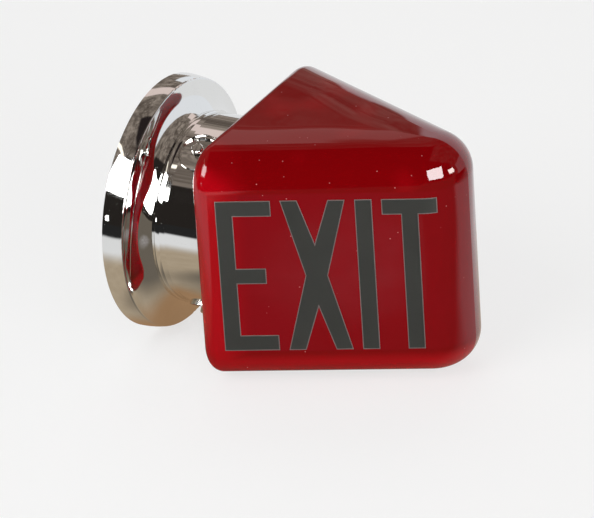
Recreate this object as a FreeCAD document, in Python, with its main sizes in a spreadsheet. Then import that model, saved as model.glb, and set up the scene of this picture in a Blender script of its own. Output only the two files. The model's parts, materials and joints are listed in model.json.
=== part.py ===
"""A wedge-shaped glass exit light on a round spun wall holder.

The model stands in a fixture frame while its pieces are made: Z runs out of the wall, Y is up and
X runs to the right as one faces the wall. Every finished piece is then turned a quarter about X, so
that the wall is the plane Y = 0, the light looks along -Y and +Z is up. The origin is the middle of
the round holder, on the wall.
"""
import FreeCAD
import Part
import Sketcher
import math
import os

from FreeCAD import Placement, Rotation, Vector

# Driving dimensions in millimetres and degrees: alias, value and what it measures.
DRIVING = (
    ("sheet_wall", 0.9, "thickness of the spun sheet of the holder"),
    ("back_radius", 71.2, "holder, radius at the wall"),
    ("rim_radius", 70.0, "holder, radius of the band at its front edge"),
    ("band_depth", 11.8, "holder, wall to the front of the rim"),
    ("band_crown", 42.0, "holder, radius of the crowned band in section"),
    ("rim_roll", 1.0, "holder, radius of the rolled front edge of the band"),
    ("back_flange", 3.4, "holder, width of the edge turned in at the wall"),
    ("root_depth", 21.0, "holder, wall to the root of the collar"),
    ("collar_gap", 1.6, "holder, inside of the collar to the lip of the globe"),
    ("swell_length", 4.6, "holder, length of the swell at the collar's root"),
    ("swell_crown", 7.8, "holder, radius of that swell in section"),
    ("mouth_gap", 3.0, "holder, open end of the collar to the back of the globe"),
    ("collar_bead", 1.3, "holder, radius of the bead at the open end"),
    ("boss_radius", 3.6, "holder, radius of the tapped bosses"),
    ("boss_clearance", 0.4, "holder, tapped bosses to the lip of the globe"),
    ("screw_depth", 38.5, "wall to the axes of the set screws"),
    ("screw_turn", 118.0, "angle of the first set screw about the holder's axis"),
    ("thread_radius", 2.05, "set screws, radius over the thread"),
    ("thread_clearance", 0.05, "running clearance of every thread"),
    ("tip_gap", 0.3, "tips of the set screws to the neck of the glass"),
    ("head_standoff", 1.6, "heads of the set screws to the collar"),
    ("head_radius", 3.5, "set screws, radius of the head"),
    ("head_height", 3.4, "set screws, height of the head"),
    ("head_round", 1.2, "set screws, rounding of the head"),
    ("slot_width", 1.0, "set screws, width of the slot"),
    ("slot_depth", 1.3, "set screws, depth of the slot"),
    ("point_length", 0.6, "set screws, height and width of the cone at the tip"),
    ("glass_wall", 3.4, "globe, thickness of the glass"),
    ("glass_back", 56.4, "wall to the back of the globe"),
    ("glass_half_width", 74.5, "globe, half of the back between its sharp corners"),
    ("glass_reach", 174.2, "globe, back to the sharp corner where the faces meet"),
    ("glass_half_height", 68.0, "globe, half of its height"),
    ("side_round", 8.0, "globe, rounding of the two corners at the back"),
    ("nose_round", 26.6, "globe, rounding of the corner where the faces meet"),
    ("shoulder_round", 20.0, "globe, rounding of the faces into top and bottom"),
    ("back_round", 6.6, "globe, rounding of the back into top and bottom"),
    ("neck_wall", 4.0, "globe, thickness of the neck"),
    ("neck_fillet", 3.0, "globe, fillet of the neck into the back"),
    ("lip_radius", 50.8, "globe, radius over the lip that the screws hold"),
    ("lip_step", 2.5, "globe, height of the lip over the neck"),
    ("lip_length", 5.4, "globe, length of the lip"),
    ("lip_hold", 0.5, "lip of the globe to the set screws behind it"),
    ("lip_round", 1.6, "globe, rounding of the lip"),
    ("web_depth", 22.6, "wall to the back of the web plate"),
    ("web_wall", 1.2, "web plate, thickness"),
    ("web_rim", 5.2, "web plate, height over the turned-up rim"),
    ("web_bend", 2.0, "web plate, outer radius of the bend"),
    ("solder_gap", 0.05, "web plate to the inside of the collar"),
    ("strap_length", 112.0, "mounting strap, end to end"),
    ("strap_width", 22.0, "mounting strap, width"),
    ("strap_wall", 2.0, "mounting strap, thickness"),
    ("box_spacing", 88.9, "mounting strap, spacing of the screws of a round box"),
    ("box_slot_length", 10.0, "mounting strap, length of the slots"),
    ("box_slot_radius", 2.4, "mounting strap, half of the width of the slots"),
    ("earth_hole_offset", 17.0, "mounting strap, middle to the holes for an earth screw"),
    ("earth_hole_radius", 1.9, "mounting strap, radius of those holes"),
    ("nipple_radius", 5.1, "nipple, radius over the thread"),
    ("nipple_bore", 3.4, "nipple, radius of the bore"),
    ("nipple_length", 35.6, "nipple, end to end"),
    ("nipple_chamfer", 0.4, "nipple, chamfer of its ends"),
    ("nut_flats", 7.2, "lock nuts, half of the distance across flats"),
    ("nut_height", 4.0, "lock nuts, height"),
    ("nut_chamfer", 0.5, "lock nuts, chamfer"),
    ("washer_radius", 10.5, "washer, radius"),
    ("washer_wall", 1.2, "washer, thickness"),
    ("cap_gap", 0.6, "web nut to the hub of the lampholder's cap"),
    ("hub_radius", 7.4, "lampholder cap, radius of the hub"),
    ("hub_length", 8.0, "lampholder cap, length of the hub"),
    ("cap_wall", 0.7, "lampholder cap, thickness"),
    ("cap_dome", 11.0, "lampholder cap, length of the dome"),
    ("cap_skirt", 6.0, "lampholder cap, length of the skirt over the shell"),
    ("shell_radius", 17.0, "lampholder shell, outer radius"),
    ("shell_wall", 0.5, "lampholder shell, thickness"),
    ("shell_length", 37.0, "lampholder shell, length"),
    ("shell_mouth", 14.6, "lampholder shell, radius of the turned-in mouth"),
    ("liner_wall", 0.7, "insulating liner, thickness"),
    ("slip_gap", 0.1, "gap between pieces that slide into one another"),
    ("body_radius", 14.6, "lampholder body, radius"),
    ("body_length", 12.0, "lampholder body, length"),
    ("body_recess", 3.0, "lampholder body, depth of the flats for the terminals"),
    ("thread_shell_radius", 13.9, "screw shell, outer radius"),
    ("thread_shell_wall", 0.4, "screw shell, thickness"),
    ("thread_shell_length", 23.0, "screw shell, length"),
    ("thread_shell_hole", 8.6, "screw shell, radius of the hole in its floor"),
    ("tongue_width", 6.0, "centre contact, width"),
    ("tongue_wall", 0.5, "centre contact, thickness"),
    ("tongue_rise", 2.2, "centre contact, rise of its free end"),
    ("rivet_offset", 10.9, "shell rivets, distance from the axis"),
    ("rivet_radius", 1.2, "shell rivets, radius of the shank"),
    ("rivet_head", 1.7, "shell rivets, radius of the heads"),
    ("terminal_width", 7.0, "terminal plates, width"),
    ("terminal_length", 8.0, "terminal plates, length"),
    ("terminal_wall", 0.8, "terminal plates, thickness"),
    ("terminal_screw_radius", 1.7, "terminal screws, radius over the thread"),
    ("terminal_head_radius", 2.9, "terminal screws, radius of the head"),
    ("terminal_head_height", 1.5, "terminal screws, height of the head"),
    ("cap_screw_radius", 1.5, "cap screw, radius over the thread"),
    ("cap_screw_head", 2.4, "cap screw, radius of the head"),
    ("lamp_contact_gap", 0.1, "centre contact to the lamp"),
    ("lamp_base_radius", 13.1, "lamp, radius of its base"),
    ("lamp_base_length", 24.5, "lamp, length of its base"),
    ("lamp_insulator", 2.6, "lamp, length of the insulator at its base"),
    ("lamp_neck_radius", 12.6, "lamp, radius of the glass where it leaves the base"),
    ("lamp_bulb_radius", 23.8, "lamp, largest radius"),
    ("lamp_length", 86.0, "lamp, overall length"),
)
SET_SCREWS = 3
HEXAGON = 2 / math.sqrt(3)  # corner to middle of a hexagon, over flat to middle
HALF_TURN = 1.0001  # a half-turn arc is drawn this much larger, so that it has one centre
QUARTER = Rotation(Vector(1, 0, 0), 90)


class Size:
    """A length from the sheet, or one worked out from such lengths, with its own expression."""

    def __init__(self, value, text):
        self.value = value
        self.text = text

    def __add__(self, other):
        other = as_size(other)
        return Size(self.value + other.value, f"({self.text} + {other.text})")

    def __sub__(self, other):
        other = as_size(other)
        return Size(self.value - other.value, f"({self.text} - {other.text})")

    def __mul__(self, other):
        other = as_size(other)
        return Size(self.value * other.value, f"({self.text} * {other.text})")

    def __truediv__(self, other):
        other = as_size(other)
        return Size(self.value / other.value, f"({self.text} / {other.text})")

    def __neg__(self):
        return Size(-self.value, f"(0 - {self.text})")

    def root(self):
        return Size(math.sqrt(self.value), f"sqrt({self.text})")

    def cosine(self):
        return Size(math.cos(math.radians(self.value)), f"cos({self.text} * 1 deg)")

    def sine(self):
        return Size(math.sin(math.radians(self.value)), f"sin({self.text} * 1 deg)")


def as_size(number):
    return number if isinstance(number, Size) else Size(float(number), str(number))


class Sizes:
    """The driving sheet: each alias is an attribute that gives a Size."""

    def __init__(self, doc):
        self.sheet = doc.addObject("Spreadsheet::Sheet", "Sizes")
        for row, (alias, value, meaning) in enumerate(DRIVING, start=1):
            self.sheet.set(f"A{row}", meaning)
            self.sheet.set(f"B{row}", str(value))
            self.sheet.setAlias(f"B{row}", alias)
        doc.recompute()

    def __getattr__(self, alias):
        return Size(float(self.sheet.get(alias)), f"Sizes.{alias}")


doc = FreeCAD.newDocument("exit_light")
size = Sizes(doc)
collar_inner = size.lip_radius + size.collar_gap
collar_outer = collar_inner + size.sheet_wall
collar_mouth = size.glass_back - size.mouth_gap
neck_outer = size.lip_radius - size.lip_step
finished = []


def bind(thing, **values):
    """Ties properties of an object to the sheet."""
    for name, value in values.items():
        thing.setExpression(name, as_size(value).text)


def finish(thing, label):
    """Names a piece and turns it from the fixture frame into the row's frame."""
    thing.Label = label
    thing.Placement = Placement(Vector(), QUARTER)
    finished.append(thing)
    return thing


def new_body(name):
    return doc.addObject("PartDesign::Body", name)


def plane(body, role):
    return next(p for p in body.Origin.OriginFeatures if p.Role == role)


def arc_between(start, end, radius):
    """An arc under half a turn: a positive radius turns left on the way, a negative one right."""
    chord = end - start
    half = chord.Length / 2
    side = Vector(-chord.y, chord.x, 0).normalize()
    reach = math.sqrt(radius * radius - half * half)
    centre = (start + end) * 0.5 + side * math.copysign(reach, radius)
    circle = Part.Circle(centre, Vector(0, 0, 1), abs(radius))
    first, last = (start, end) if radius > 0 else (end, start)
    turns = [math.atan2(p.y - centre.y, p.x - centre.x) for p in (first, last)]
    return Part.ArcOfCircle(circle, *turns)


def outline(body, name, role, corners):
    """A closed outline. Each corner is (x, y) or (x, y, radius) for an arc that ends there, and the
    step to the first corner closes it. Every corner is tied to the axes by sizes of the sheet."""
    sketch = body.newObject("Sketcher::SketchObject", name)
    sketch.AttachmentSupport = [(plane(body, role), "")]
    sketch.MapMode = "FlatFace"
    points = [Vector(as_size(c[0]).value, as_size(c[1]).value, 0) for c in corners]
    ends = []
    for k, corner in enumerate(corners):
        start, end = points[k - 1], points[k]
        if len(corner) == 3:
            radius = as_size(corner[2])
            edge = sketch.addGeometry(arc_between(start, end, radius.value), False)
            tie(sketch, ("Radius", edge), Size(abs(radius.value), f"abs({radius.text})"))
            ends.append((edge, 1, 2) if radius.value > 0 else (edge, 2, 1))
        else:
            edge = sketch.addGeometry(Part.LineSegment(start, end), False)
            ends.append((edge, 1, 2))
    for k, corner in enumerate(corners):
        edge, _, last = ends[k]
        following, first, _ = ends[(k + 1) % len(corners)]
        sketch.addConstraint(Sketcher.Constraint("Coincident", edge, last, following, first))
        for kind, axis, value in (("DistanceX", -2, corner[0]), ("DistanceY", -1, corner[1])):
            if as_size(value).value == 0:
                sketch.addConstraint(Sketcher.Constraint("PointOnObject", edge, last, axis))
            else:
                tie(sketch, (kind, -1, 1, edge, last), as_size(value))
    return sketch


def circle(body, name, role, radius, x=0, y=0):
    sketch = body.newObject("Sketcher::SketchObject", name)
    sketch.AttachmentSupport = [(plane(body, role), "")]
    sketch.MapMode = "FlatFace"
    centre = Vector(as_size(x).value, as_size(y).value, 0)
    edge = sketch.addGeometry(Part.Circle(centre, Vector(0, 0, 1), as_size(radius).value), False)
    tie(sketch, ("Radius", edge), as_size(radius))
    for kind, axis, value in (("DistanceX", -2, x), ("DistanceY", -1, y)):
        if as_size(value).value == 0:
            sketch.addConstraint(Sketcher.Constraint("PointOnObject", edge, 3, axis))
        else:
            tie(sketch, (kind, -1, 1, edge, 3), as_size(value))
    return sketch


def tie(sketch, words, value):
    """Adds a dimension to a sketch and ties it to the sheet."""
    index = sketch.addConstraint(Sketcher.Constraint(*words, value.value))
    sketch.setExpression(f"Constraints[{index}]", value.text)


def feature(body, kind, name, sketch, **values):
    """Adds a feature on a sketch. A cut has to take something away."""
    before = body.Shape.Volume if body.Tip else 0
    made = body.newObject(f"PartDesign::{kind}", name)
    made.Profile = sketch
    if kind in ("Revolution", "Groove"):
        made.ReferenceAxis = (sketch, ["V_Axis"])
    bind(made, **values)
    sketch.Visibility = False
    doc.recompute()
    if kind in ("Pocket", "Groove") and body.Shape.Volume > before - 1e-6:
        made.Reversed = True
        doc.recompute()
    if kind in ("Pocket", "Groove") and body.Shape.Volume > before - 1e-6:
        raise RuntimeError(f"{body.Name}.{name} cuts nothing")
    return made


def turned(name, corners):
    """A piece turned about the axis: its section's corners are (radius, depth)."""
    body = new_body(name)
    section = outline(body, f"{name}_section", "XZ_Plane", corners)
    feature(body, "Revolution", f"{name}_turned", section)
    return body


def cylinder(name, radius, length, base=(0, 0, 0), turn=None):
    """A plain cylinder, for holes and bosses, from a point and along a direction of its own."""
    made = doc.addObject("Part::Cylinder", name)
    bind(made, Radius=radius, Height=length)
    made.Placement = Placement(Vector(), turn or Rotation())
    for axis, value in zip("xyz", base):
        made.setExpression(f"Placement.Base.{axis}", as_size(value).text)
    return made


def combine(kind, name, first, others):
    made = doc.addObject(f"Part::{kind}", name)
    if kind == "MultiFuse":
        made.Shapes = [first, *others]
        made.Refine = True
    else:
        made.Base = first
        made.Tool = others
    doc.recompute()
    return made


def round_the_holder(number):
    """The angle of a set screw about the axis, and the turn that lays its axis outwards."""
    angle = size.screw_turn + number * (360 / SET_SCREWS)
    outwards = Rotation(Vector(0, 0, 1), angle.value) * Rotation(Vector(0, 1, 0), 90)
    return angle, outwards


def make_holder():
    """Band, trumpet and collar spun from one disc, with a bead at the open end, an edge turned in
    at the wall and three tapped bosses."""
    wall = size.sheet_wall
    roll = size.rim_roll
    bead = size.collar_bead
    flat = size.band_depth
    trumpet_run = size.rim_radius - roll - collar_outer
    trumpet_rise = size.root_depth - flat
    trumpet = (trumpet_run * trumpet_run + trumpet_rise * trumpet_rise) / (trumpet_rise * 2)
    centre_radius = size.rim_radius - roll
    centre_depth = flat + trumpet
    inner_trumpet = trumpet + wall
    inner_run = centre_radius - collar_inner
    inner_root = centre_depth - (inner_trumpet * inner_trumpet - inner_run * inner_run).root()
    swell_end = size.root_depth + size.swell_length
    section = (
        (size.back_radius - size.back_flange, 0),
        (size.back_radius, 0),
        (size.rim_radius, flat - roll, size.band_crown),
        (centre_radius, flat, roll),
        (collar_outer, size.root_depth, -trumpet),
        (collar_outer, swell_end, size.swell_crown),
        (collar_outer, collar_mouth - bead * 2),
        (collar_outer, collar_mouth, bead * HALF_TURN),
        (collar_inner, collar_mouth),
        (collar_inner, swell_end),
        (collar_inner, inner_root, -(size.swell_crown)),
        (centre_radius, flat - wall, inner_trumpet),
        (size.rim_radius - wall, flat - roll, -roll),
        (size.back_radius - wall, wall, -(size.band_crown - wall)),
        (size.back_radius - size.back_flange, wall),
    )
    shell = turned("holder_shell", section)
    lip_way = size.lip_radius + size.boss_clearance
    bosses = []
    holes = []
    for number in range(SET_SCREWS):
        angle, outwards = round_the_holder(number)
        at = (lip_way * angle.cosine(), lip_way * angle.sine(), size.screw_depth)
        length = collar_inner + wall / 2 - lip_way
        bosses.append(cylinder(f"boss_{number + 1}", size.boss_radius, length, at, outwards))
        start = neck_outer
        at = (start * angle.cosine(), start * angle.sine(), size.screw_depth)
        hole = size.thread_radius + size.thread_clearance
        length = collar_outer + wall * 2 - start
        holes.append(cylinder(f"tapped_hole_{number + 1}", hole, length, at, outwards))
    with_bosses = combine("MultiFuse", "holder_with_bosses", shell, bosses)
    drills = combine("MultiFuse", "holder_drills", holes[0], holes[1:])
    finish(combine("Cut", "canopy_holder", with_bosses, drills), "canopy_holder")


def wedge(name, inset):
    """The globe's wedge, or its hollow where inset is the thickness of the glass: a three-sided
    prism whose corners and shoulders are rounded in one go."""
    half = size.glass_half_width
    reach = size.glass_reach
    side = (half * half + reach * reach).root()
    back = size.glass_back + inset
    corner = half - inset * (side + half) / reach
    nose = size.glass_back + reach - inset * side / half
    rise = size.glass_half_height - inset
    body = new_body(f"{name}_prism")
    plan = outline(body, f"{name}_plan", "XZ_Plane", ((-corner, back), (corner, back), (0, nose)))
    pad = feature(body, "Pad", f"{name}_pad", plan, Length=rise * 2)
    pad.SideType = "Symmetric"
    doc.recompute()
    made = doc.addObject("Part::Fillet", name)
    made.Base = body
    edges = []
    for number, edge in enumerate(body.Shape.Edges, start=1):
        low, high = edge.Vertexes[0].Point, edge.Vertexes[-1].Point
        if abs(low.y - high.y) > rise.value:
            rounding = size.nose_round if abs(low.x) < 1 else size.side_round
        elif abs(low.z - high.z) < 1:
            rounding = size.back_round
        else:
            rounding = size.shoulder_round
        radius = (rounding - inset).value
        edges.append((number, radius, radius))
    made.Edges = edges
    doc.recompute()
    return made


def make_globe():
    """The hand-blown globe: a hollow wedge, open at the back into a neck with a rolled lip."""
    neck_inner = neck_outer - size.neck_wall
    lip_front = size.screw_depth - size.thread_radius - size.lip_hold
    lip_back = lip_front - size.lip_length
    into_wall = size.glass_back + size.glass_wall / 2
    fillet = size.neck_fillet
    neck = turned("neck", (
        (neck_inner, lip_back + size.lip_round),
        (neck_inner + size.lip_round, lip_back, size.lip_round),
        (size.lip_radius - size.lip_round, lip_back),
        (size.lip_radius, lip_back + size.lip_round, size.lip_round),
        (size.lip_radius, lip_front - size.lip_step),
        (neck_outer, lip_front),
        (neck_outer, size.glass_back - fillet),
        (neck_outer + fillet, size.glass_back, -fillet),
        (neck_outer + fillet, into_wall),
        (neck_inner, into_wall),
    ))
    outside = wedge("wedge", as_size(0))
    hollow = wedge("wedge_hollow", size.glass_wall)
    solid = combine("MultiFuse", "globe_solid", outside, [neck])
    mouth = cylinder("globe_mouth", neck_inner, size.glass_wall * 3, (0, 0, into_wall - size.glass_wall))
    inside = combine("MultiFuse", "globe_inside", hollow, [mouth])
    finish(combine("Cut", "exit_globe", solid, inside), "exit_globe")


def make_set_screw(number):
    """A set screw with a domed and slotted head. Its tip stops just off the neck, under the lip."""
    name = f"set_screw_{number + 1}"
    tip = neck_outer + size.tip_gap
    shank = collar_outer + size.head_standoff - tip
    top = shank + size.head_height
    body = turned(name, (
        (0, 0),
        (size.thread_radius - size.point_length, 0),
        (size.thread_radius, size.point_length),
        (size.thread_radius, shank),
        (size.head_radius, shank),
        (size.head_radius, top - size.head_round),
        (size.head_radius - size.head_round, top, size.head_round),
        (0, top),
    ))
    half = size.slot_width / 2
    slot = outline(body, f"{name}_slot", "XZ_Plane", (
        (-half, top - size.slot_depth),
        (half, top - size.slot_depth),
        (half, top + size.slot_depth),
        (-half, top + size.slot_depth),
    ))
    cut = feature(body, "Pocket", f"{name}_slot_cut", slot, Length=size.head_radius * 3)
    cut.SideType = "Symmetric"
    doc.recompute()
    angle, outwards = round_the_holder(number)
    finish(body, name)
    body.Placement = Placement(Vector(), QUARTER * outwards)
    body.setExpression("Placement.Base.x", (tip * angle.cosine()).text)
    body.setExpression("Placement.Base.y", (-size.screw_depth).text)
    body.setExpression("Placement.Base.z", (tip * angle.sine()).text)


def make_web():
    """A pressed plate with a turned-up rim, soldered inside the collar's root."""
    rim = collar_inner - size.solder_gap
    bend = size.web_bend
    wall = size.web_wall
    front = size.web_depth + size.web_rim
    hole = size.nipple_radius + size.slip_gap
    finish(turned("web_plate", (
        (hole, size.web_depth),
        (rim - bend, size.web_depth),
        (rim, size.web_depth + bend, bend),
        (rim, front),
        (rim - wall, front),
        (rim - wall, size.web_depth + bend),
        (rim - bend, size.web_depth + wall, -(bend - wall)),
        (hole, size.web_depth + wall),
    )), "web_plate")


def make_strap():
    """A flat steel strap that screws to a round outlet box and takes the nipple in its middle."""
    body = new_body("mounting_strap")
    end = size.strap_length / 2
    half = size.strap_width / 2
    rounded = size.strap_width / 4
    plan = outline(body, "strap_plan", "XY_Plane", (
        (end - rounded, -half),
        (end, -half + rounded, rounded),
        (end, half - rounded),
        (end - rounded, half, rounded),
        (-end + rounded, half),
        (-end, half - rounded, rounded),
        (-end, -half + rounded),
        (-end + rounded, -half, rounded),
    ))
    feature(body, "Pad", "strap_pad", plan, Length=size.strap_wall)
    hole = size.nipple_radius + size.thread_clearance
    centre = circle(body, "strap_centre", "XY_Plane", hole)
    feature(body, "Pocket", "strap_centre_cut", centre, Length=size.strap_wall)
    for side in (-1, 1):
        word = "left" if side < 0 else "right"
        radius = size.box_slot_radius
        middle = size.box_spacing * side / 2
        reach = size.box_slot_length / 2 - radius
        slot = outline(body, f"box_slot_{word}", "XY_Plane", (
            (middle + reach, -radius),
            (middle + reach, radius, radius * HALF_TURN),
            (middle - reach, radius),
            (middle - reach, -radius, radius * HALF_TURN),
        ))
        feature(body, "Pocket", f"box_slot_{word}_cut", slot, Length=size.strap_wall)
        offset = size.earth_hole_offset * side
        earth = circle(body, f"earth_hole_{word}", "XY_Plane", size.earth_hole_radius, offset)
        feature(body, "Pocket", f"earth_hole_{word}_cut", earth, Length=size.strap_wall)
    finish(body, "mounting_strap")


def make_nipple():
    finish(turned("nipple", (
        (size.nipple_bore, 0),
        (size.nipple_radius - size.nipple_chamfer, 0),
        (size.nipple_radius, size.nipple_chamfer),
        (size.nipple_radius, size.nipple_length - size.nipple_chamfer),
        (size.nipple_radius - size.nipple_chamfer, size.nipple_length),
        (size.nipple_bore, size.nipple_length),
    )), "nipple")


def make_nut(name, depth):
    """A hexagon lock nut on the nipple, with its corners turned off."""
    flats = size.nut_flats
    corner = flats * HEXAGON
    chamfer = size.nut_chamfer
    hole = size.nipple_radius + size.thread_clearance
    body = turned(name, (
        (hole, depth),
        (corner - chamfer * 2, depth),
        (corner, depth + chamfer),
        (corner, depth + size.nut_height - chamfer),
        (corner - chamfer * 2, depth + size.nut_height),
        (hole, depth + size.nut_height),
    ))
    six = [(corner * round(math.cos(math.radians(60 * k)), 6),
            corner * round(math.sin(math.radians(60 * k)), 6)) for k in range(6)]
    hexagon = outline(body, f"{name}_hexagon", "XY_Plane", six)
    around = size.washer_radius
    ring = hexagon.addGeometry(Part.Circle(Vector(), Vector(0, 0, 1), around.value), False)
    hexagon.addConstraint(Sketcher.Constraint("Coincident", ring, 3, -1, 1))
    tie(hexagon, ("Radius", ring), around)
    cut = feature(body, "Pocket", f"{name}_flats", hexagon, Length=(depth + size.nut_height) * 2)
    cut.SideType = "Symmetric"
    doc.recompute()
    finish(body, name)


def make_washer(depth):
    hole = size.nipple_radius + size.slip_gap
    finish(turned("web_washer", (
        (hole, depth),
        (size.washer_radius, depth),
        (size.washer_radius, depth + size.washer_wall),
        (hole, depth + size.washer_wall),
    )), "web_washer")


class Lampholder:
    """Where the pieces of the lampholder stand, counted from the wall."""

    def __init__(self):
        web_nut_front = size.web_depth + size.web_wall + size.washer_wall + size.nut_height
        self.cap_back = web_nut_front + size.cap_gap
        self.dome_back = self.cap_back + size.hub_length
        self.dome_front = self.dome_back + size.cap_dome
        self.cap_inner = size.shell_radius + size.slip_gap
        self.cap_outer = self.cap_inner + size.cap_wall
        run = self.cap_outer - size.hub_radius
        rise = size.cap_dome
        self.dome_outer_arc = (run * run + rise * rise) / (run * 2)
        self.dome_inner_arc = self.dome_outer_arc - size.cap_wall
        self.shell_back = self.dome_front + size.slip_gap
        self.shell_front = self.shell_back + size.shell_length
        seat = size.body_radius
        self.body_back = self.dome_front - self.dome_height(seat) + size.slip_gap
        self.body_front = self.body_back + size.body_length
        self.flat = size.body_radius - size.body_recess
        self.terminal_depth = self.body_back + size.body_length / 2
        self.lamp_back = self.body_front + size.tongue_rise + size.tongue_wall + size.lamp_contact_gap

    def dome_height(self, radius):
        """How far the inside of the cap's dome lies behind its front at a radius."""
        offset = radius - (self.cap_inner - self.dome_inner_arc)
        return (self.dome_inner_arc * self.dome_inner_arc - offset * offset).root()


def make_cap(holder):
    """A spun cap: a tapped hub for the nipple, a dome, and a skirt that grips the shell."""
    hole = size.nipple_radius + size.thread_clearance
    skirt_end = holder.dome_front + size.cap_skirt
    body = turned("socket_cap", (
        (hole, holder.cap_back),
        (size.hub_radius, holder.cap_back),
        (size.hub_radius, holder.dome_back),
        (holder.cap_outer, holder.dome_front, holder.dome_outer_arc),
        (holder.cap_outer, skirt_end),
        (holder.cap_inner, skirt_end),
        (holder.cap_inner, holder.dome_front),
        (hole, holder.dome_front - holder.dome_height(hole), -holder.dome_inner_arc),
    ))
    depth = holder.cap_back + size.hub_length / 2
    tapped = circle(body, "cap_screw_hole", "XZ_Plane", size.cap_screw_radius + size.thread_clearance,
                    0, depth)
    feature(body, "Pocket", "cap_screw_hole_cut", tapped, Length=size.hub_radius * 2)
    finish(body, "socket_cap")


def make_cap_screw(holder):
    """The small screw in the cap's hub that keeps the cap from turning on the nipple."""
    tip = size.nipple_radius + size.slip_gap
    shank = size.hub_radius - tip + size.cap_gap
    top = shank + size.cap_screw_head / 2
    body = turned("cap_set_screw", (
        (0, 0),
        (size.cap_screw_radius, 0),
        (size.cap_screw_radius, shank),
        (size.cap_screw_head, shank),
        (size.cap_screw_head, top),
        (0, top),
    ))
    finish(body, "cap_set_screw")
    upwards = Rotation(Vector(1, 0, 0), -90)
    body.Placement = Placement(Vector(), QUARTER * upwards)
    depth = holder.cap_back + size.hub_length / 2
    body.setExpression("Placement.Base.y", (-depth).text)
    body.setExpression("Placement.Base.z", tip.text)


def make_shell(holder):
    wall = size.shell_wall
    inner = size.shell_radius - wall
    finish(turned("socket_shell", (
        (inner, holder.shell_back),
        (size.shell_radius, holder.shell_back),
        (size.shell_radius, holder.shell_front - wall * 2),
        (size.shell_radius - wall * 2, holder.shell_front, wall * 2),
        (size.shell_mouth, holder.shell_front),
        (size.shell_mouth, holder.shell_front - wall),
        (inner, holder.shell_front - wall),
    )), "socket_shell")


def make_liner(holder):
    outer = size.shell_radius - size.shell_wall - size.slip_gap
    inner = outer - size.liner_wall
    front = holder.shell_front - size.shell_wall - size.slip_gap
    finish(turned("insulating_liner", (
        (inner, holder.shell_back),
        (outer, holder.shell_back),
        (outer, front),
        (inner, front),
    )), "insulating_liner")


def make_socket_body(holder):
    """The moulded middle of the lampholder, with a flat on each side for a terminal and holes for
    the terminal screws, the rivets and the wires."""
    body = turned("socket_interior", (
        (0, holder.body_back),
        (size.body_radius, holder.body_back),
        (size.body_radius, holder.body_front),
        (0, holder.body_front),
    ))
    half = size.terminal_width / 2 + size.slip_gap
    for side in (-1, 1):
        word = "left" if side < 0 else "right"
        flat = holder.flat * side
        edge = size.body_radius * 1.1 * side
        recess = outline(body, f"terminal_flat_{word}", "XY_Plane", (
            (flat, -half),
            (edge, -half),
            (edge, half),
            (flat, half),
        ))
        cut = feature(body, "Pocket", f"terminal_flat_{word}_cut", recess, Length=holder.body_front * 2)
        cut.SideType = "Symmetric"
        doc.recompute()
        hole = size.rivet_radius + size.slip_gap
        rivet = circle(body, f"rivet_hole_{word}", "XY_Plane", hole, 0, size.rivet_offset * side)
        cut = feature(body, "Pocket", f"rivet_hole_{word}_cut", rivet, Length=holder.body_front * 2)
        cut.SideType = "Symmetric"
        doc.recompute()
    hole = size.terminal_screw_radius + size.thread_clearance
    tapped = circle(body, "terminal_holes", "YZ_Plane", hole, 0, holder.terminal_depth)
    cut = feature(body, "Pocket", "terminal_holes_cut", tapped, Length=size.body_radius * 2)
    cut.SideType = "Symmetric"
    doc.recompute()
    finish(body, "socket_interior")


def make_screw_shell(holder):
    """The cup that the lamp screws into, with a hole in its floor for the centre contact."""
    outer = size.thread_shell_radius
    wall = size.thread_shell_wall
    floor = holder.body_front
    front = floor + size.thread_shell_length
    body = turned("screw_shell", (
        (size.thread_shell_hole, floor),
        (outer - wall, floor),
        (outer, floor + wall, wall),
        (outer, front),
        (outer - wall, front),
        (outer - wall, floor + wall),
        (size.thread_shell_hole, floor + wall),
    ))
    hole = size.rivet_radius + size.slip_gap
    for side in (-1, 1):
        word = "left" if side < 0 else "right"
        rivet = circle(body, f"shell_hole_{word}", "XY_Plane", hole, 0, size.rivet_offset * side)
        cut = feature(body, "Pocket", f"shell_hole_{word}_cut", rivet, Length=front * 2)
        cut.SideType = "Symmetric"
        doc.recompute()
    finish(body, "screw_shell")


def make_centre_contact(holder):
    """A springy tongue: it lies on the moulded body at one end and rises to the lamp."""
    reach = size.thread_shell_hole - size.tongue_wall
    seat = holder.body_front
    wall = size.tongue_wall
    high = seat + size.tongue_rise
    body = new_body("centre_contact")
    strip = outline(body, "tongue", "XZ_Plane", (
        (-reach, seat),
        (-reach / 2, seat),
        (-reach / 4, high),
        (reach / 4, high),
        (reach / 2, high - wall),
        (reach / 2, high),
        (reach / 4, high + wall),
        (-reach / 4 - wall, high + wall),
        (-reach / 2 - wall, seat + wall),
        (-reach, seat + wall),
    ))
    pad = feature(body, "Pad", "tongue_pad", strip, Length=size.tongue_width)
    pad.SideType = "Symmetric"
    doc.recompute()
    finish(body, "centre_contact")


def pair(label, make):
    """Two like pieces, left and right, that share one node."""
    both = [make("left", -1), make("right", 1)]
    finish(combine("MultiFuse", label, both[0], both[1:]), label)


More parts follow.
